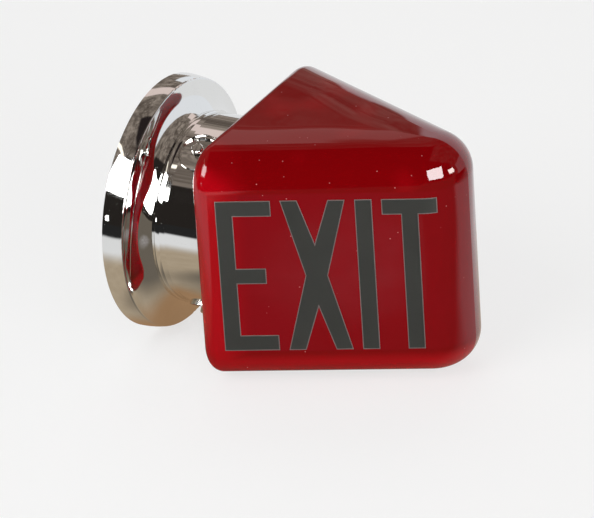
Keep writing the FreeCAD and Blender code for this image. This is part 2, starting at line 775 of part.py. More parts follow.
def make_terminals(holder):
    def plate(word, side):
        box = doc.addObject("Part::Box", f"terminal_blank_{word}")
        bind(box, Length=size.terminal_wall, Width=size.terminal_width, Height=size.terminal_length)
        left = holder.flat if side > 0 else -holder.flat - size.terminal_wall
        box.setExpression("Placement.Base.x", left.text)
        box.setExpression("Placement.Base.y", (-size.terminal_width / 2).text)
        box.setExpression("Placement.Base.z", (holder.terminal_depth - size.terminal_length / 2).text)
        hole = cylinder(f"terminal_clearance_{word}", size.terminal_screw_radius + size.slip_gap,
                        size.terminal_wall * 3, (left - size.terminal_wall, 0, holder.terminal_depth),
                        Rotation(Vector(0, 1, 0), 90))
        return combine("Cut", f"terminal_plate_{word}", box, hole)

    def screw(word, side):
        head = holder.flat + size.terminal_wall
        outwards = Rotation(Vector(0, 1, 0), 90 * side)
        depth = holder.terminal_depth
        start = (holder.flat - size.terminal_length / 2) * side
        shank = cylinder(f"terminal_shank_{word}", size.terminal_screw_radius,
                         size.terminal_length / 2 + size.terminal_wall, (start, 0, depth), outwards)
        cap = cylinder(f"terminal_head_{word}", size.terminal_head_radius, size.terminal_head_height,
                       (head * side, 0, depth), outwards)
        return combine("MultiFuse", f"terminal_screw_{word}", shank, [cap])

    pair("terminal_plates", plate)
    pair("terminal_screws", screw)


def make_rivets(holder):
    """Two rivets that hold the screw shell and its contact to the moulded body."""
    def rivet(word, side):
        at = size.rivet_offset * side
        floor = holder.body_front + size.thread_shell_wall
        length = size.body_length / 2 + size.thread_shell_wall
        shank = cylinder(f"rivet_shank_{word}", size.rivet_radius, length,
                         (0, at, floor - length))
        head = cylinder(f"rivet_head_{word}", size.rivet_head, size.rivet_radius, (0, at, floor))
        return combine("MultiFuse", f"rivet_{word}", shank, [head])

    pair("shell_rivets", rivet)


def make_lamp(holder):
    """A small round lamp: a turned outline with its base, neck and bulb tangent to one another."""
    back = holder.lamp_back
    base = size.lamp_base_radius
    insulated = back + size.lamp_insulator
    base_front = back + size.lamp_base_length
    neck = size.lamp_neck_radius
    bulb = size.lamp_bulb_radius
    tip = back + size.lamp_length
    middle = tip - bulb
    climb = middle - base_front
    hollow = (neck * neck + climb * climb - bulb * bulb) / ((bulb - neck) * 2)
    share = bulb / (bulb + hollow)
    finish(turned("lamp", (
        (0, back),
        (size.lamp_insulator, back),
        (base - size.lamp_insulator, insulated),
        (base, insulated + size.lamp_insulator / 2),
        (base, base_front),
        (neck, base_front),
        ((neck + hollow) * share, middle - climb * share, -hollow),
        (bulb, middle, bulb),
        (0, tip, bulb),
    )), "lamp")


def check_and_write():
    """Stops on any failed object, then writes each finished piece to its own file."""
    doc.recompute()
    for thing in doc.Objects:
        if {"Invalid", "Error"} & set(thing.State):
            raise RuntimeError(f"{thing.Name} failed: {thing.State}")
    os.makedirs("parts", exist_ok=True)
    for thing in finished:
        shape = thing.Shape
        if shape.isNull() or not shape.isValid():
            raise RuntimeError(f"{thing.Label} has no valid shape")
        shape.exportStep(f"parts/{thing.Label}.step")
        print(thing.Label, len(shape.Solids), round(shape.Volume, 1))


make_holder()
make_globe()
for screw in range(SET_SCREWS):
    make_set_screw(screw)
make_web()
make_strap()
make_nipple()
web_front = size.web_depth + size.web_wall
make_nut("strap_nut", size.strap_wall)
make_washer(web_front)
make_nut("web_nut", web_front + size.washer_wall)
lampholder = Lampholder()
make_cap(lampholder)
make_cap_screw(lampholder)
make_shell(lampholder)
make_liner(lampholder)
make_socket_body(lampholder)
make_screw_shell(lampholder)
make_centre_contact(lampholder)
make_terminals(lampholder)
make_rivets(lampholder)
make_lamp(lampholder)
check_and_write()
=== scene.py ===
"""The finishes, letters, threads, stage and camera of a wedge-shaped glass exit light."""

import json
import math

import bpy
import numpy as np
from bpy.props import FloatProperty, FloatVectorProperty, PointerProperty
from mathutils import Matrix, Vector


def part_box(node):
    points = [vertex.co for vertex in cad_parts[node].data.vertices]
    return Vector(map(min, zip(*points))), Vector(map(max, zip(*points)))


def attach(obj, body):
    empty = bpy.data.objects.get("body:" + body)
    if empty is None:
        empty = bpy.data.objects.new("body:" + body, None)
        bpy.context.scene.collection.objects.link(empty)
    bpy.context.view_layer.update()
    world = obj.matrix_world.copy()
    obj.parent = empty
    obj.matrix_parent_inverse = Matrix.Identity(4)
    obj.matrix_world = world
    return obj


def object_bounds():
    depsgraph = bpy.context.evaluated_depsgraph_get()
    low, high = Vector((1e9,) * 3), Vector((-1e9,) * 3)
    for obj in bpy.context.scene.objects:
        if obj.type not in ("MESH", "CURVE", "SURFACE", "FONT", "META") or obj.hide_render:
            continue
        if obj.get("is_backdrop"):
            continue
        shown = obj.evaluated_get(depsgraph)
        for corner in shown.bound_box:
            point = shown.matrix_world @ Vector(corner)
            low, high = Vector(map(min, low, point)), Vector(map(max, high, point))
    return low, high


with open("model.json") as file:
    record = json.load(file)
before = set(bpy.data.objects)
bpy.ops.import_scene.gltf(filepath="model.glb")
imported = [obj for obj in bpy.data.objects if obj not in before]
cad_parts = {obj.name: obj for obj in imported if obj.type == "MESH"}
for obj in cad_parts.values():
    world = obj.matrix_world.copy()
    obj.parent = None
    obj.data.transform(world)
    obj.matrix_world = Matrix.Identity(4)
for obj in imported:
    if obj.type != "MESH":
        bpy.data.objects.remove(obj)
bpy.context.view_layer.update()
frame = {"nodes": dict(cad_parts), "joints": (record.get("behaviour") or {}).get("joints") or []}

bl_info = {
    "name": "Glass Exit Light",
    "version": (1, 0, 0),
    "blender": (4, 5, 0),
    "location": "3D View > Sidebar > Exit Light",
    "description": "Finishes, letters, threads and stage of a glass exit light on a round holder",
    "category": "Object",
}


# ---------------------------------------------------------------- sizes and colours

def colour(name, description, default):
    return FloatVectorProperty(name=name, description=description, default=default,
                               subtype="COLOR", size=3, min=0, max=1)


def length(name, description, default):
    return FloatProperty(name=name, description=description, default=default, unit="LENGTH",
                         precision=5)


def angle(name, description, degrees):
    return FloatProperty(name=name, description=description, default=math.radians(degrees),
                         subtype="ANGLE")


class EXITLIGHT_PG_globe(bpy.types.PropertyGroup):
    """The ruby glass: the sharp-cornered plan that the CAD rounds, its surface and its colours."""
    half_width: length("Half width", "Half of the back between its sharp corners", 0.0745)
    back: length("Back", "Wall to the back of the globe", 0.0564)
    reach: length("Reach", "Back to the sharp corner where the faces meet", 0.1742)
    nose: length("Nose", "Rounding of the corner where the faces meet", 0.0266)
    shoulder: length("Shoulder", "Rounding of the faces into top and bottom", 0.020)
    # Painted shade: the shoulders are painted in this darker red, which also colours the streaks
    # and the darkening towards the nose.
    streak_and_shade_red: colour("Deep red", "Colour of the thick glass on the shoulders", (0.215, 0.0004, 0.0018))
    face: colour("Face red", "Colour of the broad faces", (0.245, 0.0012, 0.0060))
    # Painted light: a brighter red painted into the back corners, along the bottom and in patches
    # on the shoulders.
    painted_glow: colour("Edge red", "Colour where light gathers in the corners", (0.46, 0.0015, 0.0065))
    # The seeds are real bubbles; their pale colour is a painted glint.
    seed: colour("Seed", "Colour of the tiny seeds in the glass", (0.62, 0.22, 0.22))
    seed_spacing: length("Seed spacing", "Distance between the tiny seeds", 0.0070)
    wave: length("Wave height", "Height of the slow waves of blown glass", 0.00045)
    crown: length("Crown", "Rise of the blown top and bottom inside their rounded edges", 0.0048)


class EXITLIGHT_PG_letters(bpy.types.PropertyGroup):
    """The word on each broad face."""
    height: length("Height", "Height of the letters", 0.0910)
    stroke: length("Stroke", "Width of the strokes", 0.0093)
    arm: length("Arm", "Width of the letter E", 0.0300)
    gap: length("Gap", "Space between two letters", 0.0051)
    start: length("Start", "Sharp corner at the back to the word", 0.0160)
    drop: length("Drop", "Middle of the word below the middle of the glass", 0.0016)
    thickness: length("Thickness", "Thickness of the layer", 0.00010)
    line: length("Line", "Width of the pale line round each letter", 0.00050)
    enamel: colour("Letter grey", "Colour of the letters", (0.027, 0.028, 0.025))
    # Painted highlight: the pale line paints light caught along the edge of each letter.
    edge: colour("Line grey", "Colour of the line round each letter", (0.200, 0.150, 0.145))


class EXITLIGHT_PG_metal(bpy.types.PropertyGroup):
    """The chromed, plated and brass pieces."""
    chrome: colour("Chrome", "Colour of the chromed sheet", (0.86, 0.855, 0.84))
    zinc: colour("Zinc", "Colour of the plated steel", (0.56, 0.57, 0.58))
    brass: colour("Brass", "Colour of the lampholder", (0.70, 0.50, 0.22))
    tarnish: colour("Tarnish", "Colour of tarnished brass", (0.34, 0.21, 0.09))
    ring: length("Rings", "Height of the fine rings left by spinning", 0.00000015)
    wave: length("Waves", "Height of the slow waves left by spinning", 0.000012)
    taper: FloatProperty(name="Taper", default=0.06,
                         description="How much the collar widens for each metre towards its mouth")
    collar_root: length("Collar root", "Wall to where the straight collar starts", 0.029)
    dimple: length("Dimple", "Depth of the sheet's dimple at a set screw", 0.00009)
    ridge: length("Ridge", "Height of the small threads", 0.000045)
    pitch: length("Screw pitch", "Distance between the turns of a set screw", 0.00079)
    pipe_pitch: length("Pipe pitch", "Distance between the turns of the nipple", 0.00094)
    lamp_ridge: length("Lamp ridge", "Height of the lamp's thread", 0.00033)
    lamp_pitch: length("Lamp pitch", "Distance between the turns of the lamp's base", 0.0036)
    screw_head: length("Screw head", "Height of the head of a set screw", 0.0034)
    lamp_base: length("Lamp base", "Length of the lamp's base", 0.0245)


class EXITLIGHT_PG_stage(bpy.types.PropertyGroup):
    """The camera and the floor."""
    azimuth: angle("Azimuth", "Camera round the light", -60.28)
    elevation: angle("Elevation", "Camera above the horizon", 27.46)
    roll: angle("Roll", "Turn of the camera about its own axis", -3.89)
    distance: length("Distance", "Camera to the point it aims at", 2.933)
    aim: FloatVectorProperty(name="Aim", description="Point in the middle of the view",
                             default=(0.0195, -0.0697, -0.0339), unit="LENGTH", size=3)
    lens: FloatProperty(name="Lens", description="Focal length in millimetres", default=320.0)
    sensor: FloatProperty(name="Sensor", description="Width of the sensor in millimetres",
                          default=36.0)
    floor: colour("Floor", "Colour of the floor", (0.86, 0.855, 0.845))
    reach: length("Floor reach", "Half of the side of the floor", 12.0)


class EXITLIGHT_PG_sizes(bpy.types.PropertyGroup):
    """Everything that a user would change."""
    globe: PointerProperty(type=EXITLIGHT_PG_globe)
    letters: PointerProperty(type=EXITLIGHT_PG_letters)
    metal: PointerProperty(type=EXITLIGHT_PG_metal)
    stage: PointerProperty(type=EXITLIGHT_PG_stage)


# ---------------------------------------------------------------- shader maths

class Field:
    """A number that varies over a surface: a socket that reads as Python maths."""

    def __init__(self, graph, socket):
        self.graph = graph
        self.socket = socket

    def maths(self, operation, *others):
        """This number and others put through one Math node."""
        node = self.graph.node("ShaderNodeMath", {"operation": operation},
                               dict(enumerate((self, *others))))
        return Field(self.graph, node.outputs[0])

    def __add__(self, other):
        return self.maths("ADD", other)

    def __mul__(self, other):
        return self.maths("MULTIPLY", other)

    def __sub__(self, other):
        return self.maths("SUBTRACT", other)

    def __truediv__(self, other):
        return self.maths("DIVIDE", other)

    def __rsub__(self, other):
        return (self * -1).maths("ADD", other)

    def __pow__(self, other):
        return self.maths("POWER", other)

    def __abs__(self):
        return self.maths("ABSOLUTE")

    __radd__ = __add__
    __rmul__ = __mul__

    def smooth(self, low, high):
        """0 at low, 1 at high, and a smooth step between; low may be the larger."""
        node = self.graph.node("ShaderNodeMapRange", {"interpolation_type": "SMOOTHSTEP"},
                               {0: self, 1: low, 2: high})
        return Field(self.graph, node.outputs[0])


class Graph:
    """The node tree of a material or a world. Every node comes from one method."""

    def __init__(self, owner):
        owner.use_nodes = True
        self.tree = owner.node_tree
        self.tree.nodes.clear()

    def node(self, kind, settings=None, inputs=None):
        """A node of one kind, its settings first, then the values or links of its sockets."""
        made = self.tree.nodes.new(kind)
        for name, value in (settings or {}).items():
            setattr(made, name, value)
        for name, value in (inputs or {}).items():
            self.feed(made.inputs[name], value)
        return made

    def feed(self, socket, value):
        """Links a socket to a field or another socket, or sets it to a value."""
        value = value.socket if isinstance(value, Field) else value
        if isinstance(value, bpy.types.NodeSocket):
            self.tree.links.new(value, socket)
        elif socket.type == "RGBA":
            socket.default_value = (*value, 1)
        else:
            socket.default_value = value

    def place(self, output="Object"):
        """The place on the surface, and its three parts, in metres."""
        place = self.node("ShaderNodeTexCoord").outputs[output]
        parts = self.node("ShaderNodeSeparateXYZ", None, {0: place})
        return place, *(Field(self, parts.outputs[k]) for k in range(3))

    def vector(self, x, y, z):
        """Three numbers as one vector."""
        return self.node("ShaderNodeCombineXYZ", None, {0: x, 1: y, 2: z}).outputs[0]

    def noise(self, place, scale, detail=3.0, roughness=0.5):
        """Soft noise from 0 to 1; scale counts its lumps to the metre."""
        node = self.node("ShaderNodeTexNoise", None,
                         {"Vector": place, "Scale": scale, "Detail": detail,
                          "Roughness": roughness})
        return Field(self, node.outputs[0])

    def seeds(self, place, spacing):
        """Distance to the nearest of a set of scattered points, and a random shade for each."""
        node = self.node("ShaderNodeTexVoronoi", None, {"Vector": place, "Scale": 1 / spacing})
        shade = self.node("ShaderNodeSeparateXYZ", None, {0: node.outputs["Color"]}).outputs[0]
        return Field(self, node.outputs["Distance"]), Field(self, shade)

    def dot(self, place, towards):
        """How far a place or direction reaches along a fixed direction."""
        node = self.node("ShaderNodeVectorMath", {"operation": "DOT_PRODUCT"},
                         {0: place, 1: towards})
        return Field(self, node.outputs["Value"])

    def mix(self, factor, first, second):
        """The first colour where the factor is 0, the second where it is 1."""
        node = self.node("ShaderNodeMix", {"data_type": "RGBA"}, {0: factor, 6: first, 7: second})
        return node.outputs[2]

    def bump(self, height):
        """The normal of a surface raised by a height in metres."""
        return self.node("ShaderNodeBump", None, {"Height": height, "Distance": 1.0}).outputs[0]

    def principled(self, inputs):
        return self.node("ShaderNodeBsdfPrincipled", None, inputs).outputs[0]

    def surface(self, shader):
        self.node("ShaderNodeOutputMaterial", None, {"Surface": shader})


def new_material(name):
    """A new material and the graph of its nodes."""
    material = bpy.data.materials.new(name)
    return material, Graph(material)


def shade(tone, factor):
    """A colour made darker or lighter by a factor."""
    return [part * factor for part in tone]


# ---------------------------------------------------------------- what the CAD gives

def set_screws():
    """Each set screw's name, the direction in which it backs out, how far out along it the screw's
    tip and the top of its head stand, and the screw's place along Y."""
    found = []
    for joint in frame["joints"]:
        node = frame["nodes"][joint["child"]]
        outwards = np.array(joint["axis"], float)
        places = np.array([vertex.co for vertex in node.data.vertices])
        out = places @ outwards
        low, high = places.min(axis=0), places.max(axis=0)
        found.append((joint["child"], outwards, out.min(), out.max(), (low[1] + high[1]) / 2))
    return found


def finish_nodes(material, *nodes):
    """Gives CAD nodes their finish."""
    for node in nodes:
        for held in frame["nodes"][node].material_slots:
            held.material = material


# ---------------------------------------------------------------- materials

def spun_chrome(metal):
    """Polished chrome over a spun sheet: fine rings round the axis, slow waves, faint smears, a
    collar that widens a little towards its mouth, and a shallow dimple with ripples where each set
    screw draws the sheet in."""
    material, g = new_material("spun_chrome")
    place, x, y, z = g.place()
    radius = (x * x + z * z) ** 0.5
    rings = g.noise(g.vector(radius, y, 0.0), 900.0, 2.0)
    height = (rings - 0.5) * metal.ring + (g.noise(place, 55.0, 0.0) - 0.5) * metal.wave
    collar = (y + metal.collar_root).maths("MINIMUM", 0.0)
    height = height - collar * metal.taper
    for _, outwards, _, top, depth in set_screws():
        along = x * float(outwards[0]) + z * float(outwards[2])
        sideways = x * float(outwards[2]) - z * float(outwards[0])
        across = (sideways * sideways + (y - float(depth)) ** 2) ** 0.5
        near = along.smooth(top * 0.3, top * 0.5)
        ripples = (across * 1500.0 + g.noise(place, 90.0) * 4.0).maths("COSINE")
        height = height + near * across.smooth(0.015, 0.004) * ripples * (metal.dimple * 0.06)
        height = height - near * across.smooth(0.011, 0.001) * metal.dimple
    smears = g.noise(place, 26.0, 5.0, 0.6)
    dust = g.noise(place, 1400.0, 1.0).smooth(0.70, 0.78)
    tone = g.mix(smears.smooth(0.35, 0.8), metal.chrome, shade(metal.chrome, 0.95))
    g.surface(g.principled({
        "Base Color": g.mix(dust * 0.25, tone, (0.60, 0.58, 0.55)),
        "Metallic": 1.0,
        "Roughness": smears * 0.04 + dust * 0.10 + 0.030,
        "Normal": g.bump(height),
    }))
    return material


def ruby_glass(globe):
    """Thick ruby glass: painted shade makes the shoulders a darker red than the broad faces, and
    painted light makes it brighter at the back corners, along the bottom and in patches on the
    shoulders. It is darker towards the nose, with faint streaks, slow waves and tiny seeds whose
    pale colour is a painted glint. The top and bottom are blown with a crown that starts inside
    their rounded edges."""
    material, g = new_material("ruby_glass")
    place, x, y, z = g.place()
    _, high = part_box("exit_globe")
    flat_end = high[2] - globe.shoulder
    face = abs(z).smooth(flat_end + 0.0008, flat_end - 0.0012)
    cloud = g.noise(place, 16.0, 3.0)
    streaks = g.noise(g.vector(x * 16.0, y * 16.0, z * 130.0), 1.0, 4.0)
    # Painted light: brighter red painted in the back corners, along the bottom and in random
    # patches on the shoulders.
    corner = abs(x).smooth(high[0] - 0.009, high[0] - 0.001) * 0.8
    bottom = z.smooth(-flat_end, -flat_end - 0.008) * 0.8
    patches = g.noise(place, 26.0, 1.0).smooth(0.55, 0.75) * (1 - face) * 0.35
    painted_glow = (corner.maths("MAXIMUM", bottom) + patches) * (cloud * 0.5 + 0.7)
    # Tiny seeds: real bubbles, whose pale colour is a painted glint.
    distance, chance = g.seeds(place, globe.seed_spacing)
    seed = distance.smooth(0.070, 0.035) * chance.smooth(0.25, 0.35)
    # The colour turns darker towards the nose: first in clouds over the broad faces, then evenly
    # near the nose.
    darker_forward = y.smooth(-0.095, -0.135) * 0.55 * cloud.smooth(0.3, 0.7)
    # Painted shade: the shoulders take the darker red, and the broad faces take the face red.
    tone = g.mix(face * (cloud * 0.4 + 0.7 - darker_forward), globe.streak_and_shade_red, globe.face)
    nose = y.smooth(-0.13, -0.21) * 0.35
    tone = g.mix(streaks.smooth(0.45, 0.8) * 0.22 + nose, tone, globe.streak_and_shade_red)
    tone = g.mix(painted_glow.maths("MINIMUM", 1.0), tone, globe.painted_glow)
    tone = g.mix(seed * 0.6, tone, globe.seed)
    span = math.hypot(globe.half_width, globe.reach)
    inwards = (globe.half_width - abs(x)) * globe.reach + (y + globe.back) * globe.half_width
    inwards = inwards * (1 / span) + (g.noise(place, 16.0, 0.0) - 0.5) * globe.shoulder * 0.9
    crown = inwards.smooth(0.0, globe.shoulder * 2.1)
    height = crown * globe.crown + (g.noise(place, 22.0, 1.0) - 0.5) * globe.wave
    height = height + (g.noise(place, 110.0, 1.0) - 0.5) * (globe.wave * 0.05) + seed * 0.00001
    g.surface(g.principled({
        "Base Color": tone,
        "Roughness": seed * 0.3 + g.noise(place, 45.0, 4.0).smooth(0.5, 0.9) * 0.05 + 0.02,
        "Normal": g.bump(height),
        "IOR": 1.5,
    }))
    return material


def letter_layer(name, tone, grain):
    """A matt fired layer with a fine grain and faint rubbed patches."""
    material, g = new_material(name)
    place, *_ = g.place()
    fine = g.noise(place, 1800.0, 2.0)
    rubbed = g.noise(place, 60.0, 5.0, 0.6)
    g.surface(g.principled({
        "Base Color": g.mix(fine * 0.45 + rubbed * 0.45, shade(tone, 0.80), shade(tone, 1.25)),
        "Roughness": rubbed * 0.15 + 0.40,
        "Normal": g.bump((fine - 0.5) * grain),
    }))
    return material


def plated_steel(metal):
    """Zinc-plated pressed steel, with a cloudy sheen and fine rolling lines."""
    material, g = new_material("plated_steel")
    place, x, y, z = g.place()
    lines = g.noise(g.vector(x * 60.0, y * 60.0, z * 2500.0), 1.0)
    cloud = g.noise(place, 70.0, 4.0, 0.6)
    g.surface(g.principled({
        "Base Color": g.mix(cloud, shade(metal.zinc, 0.78), metal.zinc),
        "Metallic": 1.0,
        "Roughness": lines * 0.12 + cloud * 0.14 + 0.24,
        "Normal": g.bump((lines - 0.5) * 0.000004),
    }))
    return material


def drawn_brass(metal):
    """Thin drawn brass with drawing lines and a little tarnish."""
    material, g = new_material("drawn_brass")
    place, x, y, z = g.place()
    lines = g.noise(g.vector((x * x + z * z) ** 0.5, y, 0.0), 1800.0, 2.0)
    tarnish = g.noise(place, 90.0, 5.0, 0.65)
    g.surface(g.principled({
        "Base Color": g.mix(tarnish.smooth(0.4, 0.75), metal.brass, metal.tarnish),
        "Metallic": 1.0,
        "Roughness": tarnish * 0.25 + lines * 0.08 + 0.16,
        "Normal": g.bump((lines - 0.5) * 0.000003),
    }))
    return material


def insulating_card():
    """Fibrous insulating card."""
    material, g = new_material("insulating_card")
    place, x, y, z = g.place()
    fibre = g.noise(g.vector(x * 900.0, y * 220.0, z * 900.0), 1.0, 4.0)
    g.surface(g.principled({
        "Base Color": g.mix(fibre, (0.10, 0.065, 0.035), (0.26, 0.19, 0.12)),
        "Roughness": fibre * 0.2 + 0.65,
        "Normal": g.bump((fibre - 0.5) * 0.00005),
    }))
    return material


def moulded_phenolic():
    """Dark moulded phenolic with a faint mottle."""
    material, g = new_material("moulded_phenolic")
    place, *_ = g.place()
    mottle = g.noise(place, 400.0, 4.0)
    g.surface(g.principled({
        "Base Color": g.mix(mottle, (0.020, 0.012, 0.009), (0.055, 0.036, 0.026)),
        "Roughness": mottle * 0.15 + 0.22,
        "Normal": g.bump((g.noise(place, 150.0) - 0.5) * 0.00002),
    }))
    return material


def pearl_lamp(metal):
    """A pearl lamp: a black insulator at its end, a metal base, and pearl glass above."""
    material, g = new_material("pearl_lamp")
    place, _, y, _ = g.place()
    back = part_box("lamp")[1][1]
    base = y.smooth(back - metal.lamp_base - 0.0002, back - metal.lamp_base + 0.0002)
    insulator = y.smooth(back - 0.0028, back - 0.0024)
    frost = g.noise(place, 700.0)
    pearl = g.mix(frost, (0.72, 0.71, 0.67), (0.86, 0.85, 0.82))
    tone = g.mix(base, pearl, metal.brass)
    g.surface(g.principled({
        "Base Color": g.mix(insulator, tone, (0.02, 0.02, 0.03)),
        "Metallic": base * (1 - insulator),
        "Roughness": frost * 0.12 + 0.26,
        "Normal": g.bump((frost - 0.5) * 0.00001),
    }))
    return material


# ---------------------------------------------------------------- surfaces

def grid_faces(rows, columns, closed=False):
    """The four-sided faces of a grid of points, whose rows may close on themselves."""
    index = np.arange(rows * columns).reshape(rows, columns)
    if closed:
        index = np.concatenate([index, index[:1]])
    corners = (index[:-1, :-1], index[1:, :-1], index[1:, 1:], index[:-1, 1:])
    return np.stack([corner.ravel() for corner in corners], axis=1)


def new_piece(name, grids, material, body, smooth=True):
    """Makes one piece of the light from grids, each of points and faces."""
    offsets = np.cumsum([0] + [len(points) for points, _ in grids])
    points = np.concatenate([points for points, _ in grids])
    faces = np.concatenate([faces + offset for (_, faces), offset in zip(grids, offsets)])
    mesh = bpy.data.meshes.new(name)
    mesh.from_pydata(points, [], faces)
    mesh.polygons.foreach_set("use_smooth", np.full(len(faces), smooth))
    mesh.materials.append(material)
    mesh.update()
    piece = bpy.data.objects.new(name, mesh)
    bpy.context.scene.collection.objects.link(piece)
    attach(piece, body)
    return piece


def thread(start, along, radius, reach, pitch, height):
    """A rolled thread: a half wave carried round a helix. At turn t and place v across the ridge,
    from -1/2 to 1/2, a point is (t + 1/2 + v) pitches along the axis and radius + height cos(pi v)
    away from it, at the angle of t turns. The ridge dies away over the first and last half turn."""
    along = np.asarray(along, float)
    side = np.cross(along, (0.0, 1.0, 0.0) if abs(along[1]) < 0.9 else (1.0, 0.0, 0.0))
    side /= np.linalg.norm(side)
    other = np.cross(along, side)
    turns = reach / pitch - 1
    turn = np.linspace(0, turns, int(turns * 32) + 1)[:, None]
    v = np.linspace(-0.5, 0.5, 7)[None, :]
    fade = np.clip(np.minimum(turn, turns - turn) * 2, 0, 1)
    away = (radius - height * 0.2 + height * 1.2 * np.cos(math.pi * v) * fade)[..., None]
    swing = 2 * math.pi * turn[..., None]
    points = np.asarray(start) + ((turn + 0.5 + v) * pitch)[..., None] * along
    points = points + away * (np.cos(swing) * side + np.sin(swing) * other)
    faces = grid_faces(*points.shape[:2])
    return points.reshape(-1, 3), faces


class GlobeFace:
    """One broad face of the globe, unrolled. A place on it is (x, z) as one reads the word, x from
    the word's left edge. The face is flat from the sharp corner at the back to the nose, and there
    it follows the round nose, whose centre stands on the middle plane."""

    def __init__(self, globe, side, start, word):
        span = math.hypot(globe.half_width, globe.reach)
        half_angle = math.atan2(globe.half_width, globe.reach)
        self.side = side
        self.nose = globe.nose
        self.forward = np.array((-side * globe.half_width, -globe.reach, 0)) / span
        self.outwards = np.array((side * globe.reach, -globe.half_width, 0)) / span
        self.corner = np.array((side * globe.half_width, -globe.back, 0))
        self.flat_end = span - globe.nose / math.tan(half_angle)
        tip = globe.back + globe.reach
        self.centre = np.array((0, globe.nose / math.sin(half_angle) - tip, 0))
        self.start = start
        self.word = word

    def at(self, x, z, lift):
        """Arrays of places, raised off the glass by lift."""
        x, z, lift = np.broadcast_arrays(x, z, lift)
        s = self.start + (x if self.side < 0 else self.word - x)
        flat = self.corner + s[..., None] * self.forward + lift[..., None] * self.outwards
        bend = ((s - self.flat_end) / self.nose)[..., None]
        ray = np.cos(bend) * self.outwards + np.sin(bend) * self.forward
        bent = self.centre + ray * (self.nose + lift)[..., None]
        place = np.where(bend > 0, bent, flat)
        place[..., 2] = z
        return place


def letter_outlines(letters):
    """The letters of the word as closed outlines, anticlockwise: plain block letters of one stroke
    width, whose E, X and T are worked out from the stroke, the height and the arm."""
    top = letters.height / 2
    stroke = letters.stroke
    half = stroke / 2
    inner = top - stroke
    arm = letters.arm
    wide = arm + stroke * 0.55
    middle = wide / 2
    waist = stroke * 0.65
    notch = top * waist / (waist + middle - stroke)
    letter_e = ((0, top), (0, -top), (arm, -top), (arm, -inner), (stroke, -inner),
                (stroke, -half), (arm - half, -half), (arm - half, half), (stroke, half),
                (stroke, inner), (arm, inner), (arm, top))
    letter_x = ((0, top), (middle - waist, 0), (0, -top), (stroke, -top), (middle, -notch),
                (wide - stroke, -top), (wide, -top), (middle + waist, 0), (wide, top),
                (wide - stroke, top), (middle, notch), (stroke, top))
    letter_i = ((0, top), (0, -top), (stroke, -top), (stroke, top))
    letter_t = ((0, top), (0, inner), (arm / 2 - half, inner), (arm / 2 - half, -top),
                (arm / 2 + half, -top), (arm / 2 + half, inner), (arm, inner), (arm, top))
    word = []
    left = 0.0
    for letter in (letter_e, letter_x, letter_i, letter_t):
        corners = np.array(letter, float) + (left, -letters.drop)
        word.append(corners)
        left = corners[:, 0].max() + letters.gap
    return word


def inset(corners, distance):
    """The outline moved inwards: at each corner, both sides shifted by the distance cross."""
    step = np.roll(corners, -1, axis=0) - corners
    normal = np.stack([-step[:, 1], step[:, 0]], axis=1) / np.linalg.norm(step, axis=1)[:, None]
    before = np.roll(normal, 1, axis=0)
    share = distance / (1 + (normal * before).sum(axis=1))
    return corners + (normal + before) * share[:, None]


def letter_field(face, corners, lift, step=0.002):
    """The field of a letter: between each two levels at which it has a corner, the outline bounds
    strips with straight sides, and a point at (u, v) of a strip lies the share u of the way from
    its left side to its right side and the share v of the way up."""
    following = np.roll(corners, -1, axis=0)
    levels = np.unique(np.round(corners[:, 1], 7))
    grids = []
    for low, high in zip(levels[:-1], levels[1:]):
        crossing = (corners[:, 1] < (low + high) / 2) != (following[:, 1] < (low + high) / 2)
        start, end = corners[crossing], following[crossing]
        slope = (end[:, 0] - start[:, 0]) / (end[:, 1] - start[:, 1])
        below = start[:, 0] + slope * (low - start[:, 1])
        above = start[:, 0] + slope * (high - start[:, 1])
        order = np.argsort(below + above)
        for left, right in order.reshape(-1, 2):
            count = max(2, int((above[right] - above[left]) / step) + 1)
            u = np.linspace(0, 1, count)[:, None]
            v = np.array([[0.0, 1.0]])
            x = (below[left] * (1 - v) + above[left] * v) * (1 - u)
            x = x + (below[right] * (1 - v) + above[right] * v) * u
            points = face.at(x, low + (high - low) * v, lift)
            grids.append((points.reshape(-1, 3), grid_faces(*x.shape)))
    return grids


def letter_edging(face, corners, line, thickness, step=0.002):
    """The line round a letter: a low flat-topped profile, of insets and lifts, carried round the
    outline with mitred corners."""
    profile = ((0, -0.2), (0, 0.8), (0.2, 1.15), (0.8, 1.15), (1, 0.9))
    rings = np.stack([inset(corners, share * line) for share, _ in profile], axis=1)
    following = np.roll(rings, -1, axis=0)
    spans = np.linalg.norm((following - rings)[:, 0], axis=1)
    path = np.concatenate([
        start + (end - start) * (np.arange(count) / count)[:, None, None]
        for start, end, count in zip(rings, following, (spans / step).astype(int) + 1)
    ])
    lift = np.array([rise for _, rise in profile]) * thickness
    points = face.at(path[..., 0], path[..., 1], lift)
    return points.reshape(-1, 3), grid_faces(*points.shape[:2], closed=True)


# ---------------------------------------------------------------- operators

class ExitLightOperator:
    bl_options = {"REGISTER", "UNDO"}

    @property
    def sizes(self):
        return bpy.context.scene.exit_light


class EXITLIGHT_OT_holder(ExitLightOperator, bpy.types.Operator):
    """Chromes the spun holder and the set screws"""
    bl_idname = "exit_light.holder"
    bl_label = "Holder and set screws"

    def execute(self, context):
        chrome = spun_chrome(self.sizes.metal)
        finish_nodes(chrome, "canopy_holder", *(screw[0] for screw in set_screws()))
        return {"FINISHED"}


class EXITLIGHT_OT_globe(ExitLightOperator, bpy.types.Operator):
    """Gives the globe its ruby glass"""
    bl_idname = "exit_light.globe"
    bl_label = "Ruby glass globe"

    def execute(self, context):
        finish_nodes(ruby_glass(self.sizes.globe), "exit_globe")
        return {"FINISHED"}


